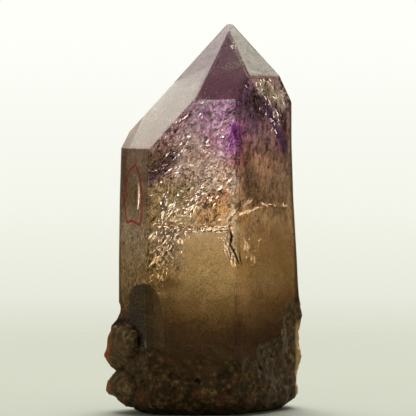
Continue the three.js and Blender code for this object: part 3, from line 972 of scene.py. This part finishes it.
def make_veils():
    """The sheets under the prism faces, the haze of the smoky zone, and the frost under the facets."""
    cloud, soft, haze = (veil_material(name, *values) for name, values in VEIL_KINDS.items())
    up = Vector((0, 0, 1))
    face_sheets = {
        "front": (1.5, 0.9, front_density),
        "right": (1.4, 0.7, right_density),
        "left": (1.5, 0.7, left_density),
    }
    for side, (depth, swell, most, start, end) in BACK_VEILS.items():
        face_sheets[side] = (depth, swell, between_levels(most, start, end))
    for index, (side, (depth, swell, density)) in enumerate(face_sheets.items()):
        centre = outward(side) * (SIDES[side] - depth) + up * VEIL_MIDDLE
        waves = (VEIL_WAVES, swell, index + 3)
        material = soft if side == "right" else cloud
        veil(f"veil_{side}", centre, rightward(side), up, VEIL_SHEET, waves, density, material)
    for side, most in (("front", 0.85), ("right", 0.7)):
        centre = outward(side) * (SIDES[side] - HAZE_DEPTH) + up * HAZE_MIDDLE
        waves = (HAZE_WAVES, 0.25, 31)
        veil(
            f"low_haze_{side}", centre, rightward(side), up, HAZE_SHEET, waves,
            low_haze_density(most), haze, fade=0.3, tone=low_haze_tone,
        )
    facet_sheets = {
        "left": (left_facet_density, left_facet_tone),
        "front": (front_facet_density, front_facet_tone),
        "right": (lambda point: RIGHT_FACET_DENSITY, lambda point: Vector(RIGHT_FACET_TONE)),
    }
    for index, (side, (density, tone)) in enumerate(facet_sheets.items()):
        reach, shoulder = SHOULDER[side]
        rise = up * math.sin(RHOMB_TILT) - outward(side) * math.cos(RHOMB_TILT)
        middle = outward(side) * reach + up * shoulder + rise * FACET_RISE
        centre = middle - facet_out(side) * FACET_DEPTH
        waves = (VEIL_WAVES, 0.15, index + 13)
        veil(
            f"facet_veil_{side}", centre, rightward(side), rise, FACET_SHEET, waves, density, haze,
            step=0.4, margin=0.2, fade=0.4, tone=tone,
        )


def spark_material():
    material, make, shader, _ = new_material("sparks")
    tone = make.mix(0.5, make.attribute("tone", "Color"), (1, 1, 1))
    make.fill(shader, {"Base Color": tone, "Metallic": 1, "Roughness": 0.22})
    return material


def flake_material():
    material, make, shader, output = new_material("flakes")
    tone = make.attribute("tone", "Color")
    make.fill(shader, {"Base Color": tone, "Roughness": 0.2})
    make.put(output.inputs["Surface"], make.lit_through(shader, tone, 0.85))
    return material


def bent(direction, normal):
    """A direction out of the crystal, as it runs inside it, or None where the face looks away from it."""
    if direction.dot(normal) < 0.02:
        return None
    flat = (direction - normal * direction.dot(normal)) / QUARTZ_IOR
    return flat + normal * math.sqrt(1 - flat.length_squared)


def spark_out(normal):
    """Which way a flake under a face looks to mirror the key or fill light to the photograph's camera."""
    view = bent(Vector((0, -1, 0)), normal)
    lamps = [bent((place - AIM).normalized(), normal) for _, place, _, _ in LAMPS[:2]]
    lamp = next((direction for direction in lamps if direction), None)
    return (view + lamp).normalized() if view and lamp else None


def crack_bands():
    """Bands of flakes that follow the crack."""
    pairs = list(zip(CRACK, CRACK[1:]))
    rusty = [(*pair, *CRACK_RUST) for pair in pairs[:RUSTY_STRETCHES]]
    return rusty + [(*pair, *CRACK_DARK) for pair in pairs[RUSTY_STRETCHES:]]


def add_flake(rng, works, band):
    """One flake of a band, unless it would come too near the skin."""
    start, end, width, _, size, tone_name = band
    share = rng.random()
    x = start[0] + share * (end[0] - start[0]) + width * rng.gauss(0, 0.5)
    z = start[1] + share * (end[1] - start[1]) + width * rng.gauss(0, 0.5)
    skin, normal = SKIN.ray_cast(Vector((x, -OUTSIDE, z)) * MM, Vector((0, 1, 0)))[:2]
    if skin is None:
        return
    nearest, deepest = FLAKE_DEPTHS
    centre = skin / MM - normal * (nearest + (deepest - nearest) * rng.random())
    reach = size * (0.5 + rng.random())
    lean = math.atan2(end[0] - start[0], end[1] - start[1])
    lean += math.radians(rng.gauss(0, 25 if size < 0.6 else 9))
    long = Vector((math.sin(lean), rng.gauss(0, 0.4), math.cos(lean))).normalized()
    may_spark = tone_name != "dark" and size >= SPARK_SIZES[0]
    sparkling = may_spark and rng.random() < SPARK_SHARE * min(size, SPARK_SIZES[1])
    out = spark_out(normal) if sparkling else None
    work = works["sparks" if out else "glitter"]
    if depth_under_skin(centre) < 0.22 + reach * (0.35 if out else 0.6):
        return
    stray = Vector([rng.gauss(0, 1) for _ in range(3)])
    out = out + SPARK_STRAY * stray if out else 0.35 * stray - Vector((0, 1, 0))
    long = long.cross(out).cross(out).normalized()
    short = long.cross(out).normalized()
    long *= reach * (1 + rng.random())
    short *= min(reach, FLAKE_WIDTH) * (0.35 + 0.3 * rng.random())
    shade = 0.55 + 0.45 * rng.random()
    tint = work.verts.layers.float_color["tone"]
    corners = [work.verts.new((centre + side) * MM) for side in (long, short, -long * 0.8, -short)]
    for corner in corners:
        corner[tint] = (*(shade * c for c in FLAKE_TONES[tone_name]), 1.0)
    work.faces.new(corners)


def make_flakes():
    """All flakes under the skin: clear ones that glitter, and mirroring ones that spark."""
    rng = random.Random(SEED)
    kinds = {"glitter": flake_material(), "sparks": spark_material()}
    works = {name: bmesh.new() for name in kinds}
    for work in works.values():
        work.verts.layers.float_color.new("tone")
    for band in GLINTS + SPECKS + crack_bands():
        for _ in range(band[3]):
            add_flake(rng, works, band)
    for name, work in works.items():
        add_inside(name, as_mesh(name, work), kinds[name])


def make_loop():
    """The marker line, as a thin closed ribbon on the left face."""
    material, make, shader, output = new_material("marker_line")
    shade = make.colours(make.noise(make.position(), 1.2, 3), INK_TONES)
    make.fill(shader, {"Base Color": shade, "Roughness": 0.5})
    make.put(output.inputs["Surface"], make.lit_through(shader, shade, 0.5))
    points = smooth_loop([Vector(p) for p in LOOP], LOOP_STEPS)
    work = bmesh.new()
    rims = []
    for index, point in enumerate(points):
        ahead, behind = points[(index + 1) % len(points)], points[index - 1]
        line = (ahead - behind).normalized()
        aside = Vector((-line.y, line.x)) * LOOP_WIDTH / 2
        aside *= 1 + 0.35 * noise.noise(Vector((point.x, point.y, 0)) / 1.5)
        rims.append([on_left_face(work, spot) for spot in (point + aside, point - aside)])
    for index, (outer, inner) in enumerate(rims):
        next_outer, next_inner = rims[(index + 1) % len(rims)]
        work.faces.new((outer, inner, next_inner, next_outer))
    bmesh.ops.recalc_face_normals(work, faces=work.faces)
    add_inside("marker_line", as_mesh("marker_line", work), material)


def on_left_face(work, spot):
    """A new point of the ink, at a spot measured along and up the left face in mm."""
    start = outward("left") * OUTSIDE + rightward("left") * spot.x + Vector((0, 0, spot.y))
    place, normal = SKIN.ray_cast(start * MM, -outward("left"))[:2]
    return work.verts.new(place + normal * INK_HEIGHT * MM)


def smooth_loop(points, steps):
    """A closed smooth curve through the points."""
    made = []
    for index in range(len(points)):
        before, start, end, after = (points[(index + k - 1) % len(points)] for k in range(4))
        for step in range(steps):
            t = step / steps
            curve = 2 * start + (end - before) * t + (2 * before - 5 * start + 4 * end - after) * t**2
            made.append(0.5 * (curve + (3 * start - before - 3 * end + after) * t**3))
    return made


def make_pocket():
    """The sealed pocket of water with its gas bubble: the walls of the hollows look inwards."""
    across, up = rightward("left"), Vector((0, 0, 1))
    out = outward("left")
    centre = out * (SIDES["left"] - POCKET_DEPTH) + across * POCKET_PLACE[0] + up * POCKET_PLACE[1]
    for name, middle, radii, ior in (
        ("fluid_pocket", centre, POCKET_RADII, QUARTZ_IOR / WATER_IOR),
        ("gas_bubble", centre + up * BUBBLE_RISE, BUBBLE_RADII, WATER_IOR),
    ):
        material, make, shader, _ = new_material(name)
        make.fill(shader, {"Base Color": (1, 1, 1, 1), "Transmission Weight": 1})
        make.fill(shader, {"Roughness": 0, "IOR": ior})
        work = bmesh.new()
        bmesh.ops.create_icosphere(work, subdivisions=4, radius=1)
        for vert in work.verts:
            ball = vert.co.copy()
            stretched = across * ball.x * radii[0] + up * ball.z * radii[1] + out * ball.y * radii[2]
            vert.co = (middle + stretched) * MM
        bmesh.ops.recalc_face_normals(work, faces=work.faces)
        bmesh.ops.reverse_faces(work, faces=work.faces)
        for face in work.faces:
            face.smooth = True
        add_inside(name, as_mesh(name, work), material)


# The room


def make_floor():
    """A round pale floor that fades out into the backdrop, with painted shade towards the front and to the
    sides.
    """
    bpy.ops.mesh.primitive_circle_add(vertices=96, radius=FLOOR_RADIUS, fill_type="NGON")
    floor = bpy.context.object
    floor.name = "floor"
    material, make, shader, _ = new_material("floor_paint")
    place = make.position()
    x, y, _ = make.split(place)
    # Painted shade: darker towards the front, and much darker to the sides, which the side faces mirror
    paint = make.mix(make.ramp_up(y, *FLOOR_DEPTHS), *FLOOR_TONES)
    aside = make.ramp_up(make.math("ABSOLUTE", x), *FLOOR_SIDES)
    paint = make.mix(aside, paint, FLOOR_SIDE_SHADE)
    length = new_node(make.tree, "ShaderNodeVectorMath", operation="LENGTH")
    make.put(length.inputs[0], place)
    cover = make.ramp_up(length.outputs["Value"], *FLOOR_FADE)
    make.fill(shader, {"Base Color": paint, "Roughness": 0.8, "Specular IOR Level": 0, "Alpha": cover})
    floor.data.materials.append(material)


def make_world():
    """The backdrop behind the crystal, the bright ring round it and the dim room in front."""
    world = bpy.data.worlds.new("studio")
    world.use_nodes = True
    bpy.context.scene.world = world
    tree = world.node_tree
    make = Maker(tree)
    background = next(n for n in tree.nodes if n.type == "BACKGROUND")
    direction = new_node(tree, "ShaderNodeTexCoord").outputs["Generated"]
    x, y, z = make.split(direction)
    backdrop = make.colours(make.scaled(z, 4.0, 0.5), BACKDROP_TONES)
    width = make.math("ABSOLUTE", x)
    behind = make.ramp_up(width, *BACKDROP_EDGE)
    behind = make.times(behind, make.ramp_up(y, 0.0, 0.3))
    aside = make.math("SQRT", make.math("ADD", make.times(x, x), make.times(z, z)))
    ring = make.times(make.ramp_up(aside, *RING_EDGE), behind)
    ring = make.times(ring, make.ramp_up(z, -0.25, 0.0))
    corner = make.times(make.ramp_up(width, 0.3, 0.42), make.ramp_up(z, 0.22, 0.38))
    ring = make.times(ring, make.scaled(corner, -CORNER_LOSS, 1.0))
    strength = make.scaled(ring, RING_LIGHT - 1, 1.0)
    around = make.mix(make.ramp_up(y, 0.2, 0.45), SIDE_LIGHT, FLANK_LIGHT)
    make.fill(background, {"Color": make.mix(behind, around, backdrop), "Strength": strength})


def make_camera():
    """A camera at the photograph's viewing angle."""
    data = bpy.data.cameras.new("photo_view")
    camera = bpy.data.objects.new("photo_view", data)
    bpy.context.scene.collection.objects.link(camera)
    rise = math.radians(CAMERA_RISE)
    back = Vector((0, -math.cos(rise), math.sin(rise)))
    camera.location = AIM + back * CAMERA_DISTANCE * MM
    camera.rotation_euler = (-back).to_track_quat("-Z", "Y").to_euler()
    data.sensor_width = SENSOR
    data.lens = SENSOR * CAMERA_DISTANCE / PHOTO_WIDTH
    data.clip_start = NEAREST
    bpy.context.scene.camera = camera


def make_lights():
    for name, place, size, power in LAMPS:
        data = bpy.data.lights.new(name, "AREA")
        data.shape = "DISK"
        data.size = size
        data.energy = power
        lamp = bpy.data.objects.new(name, data)
        lamp.location = place
        lamp.rotation_euler = (AIM - place).to_track_quat("-Z", "Y").to_euler()
        bpy.context.scene.collection.objects.link(lamp)


make_world()
make_camera()
make_lights()
make_floor()
make_crystal()
make_veils()
make_flakes()
make_loop()
make_pocket()

scene = bpy.context.scene
scene.view_settings.view_transform = "Standard"
scene.cycles.transparent_max_bounces = TRANSPARENT_BOUNCES
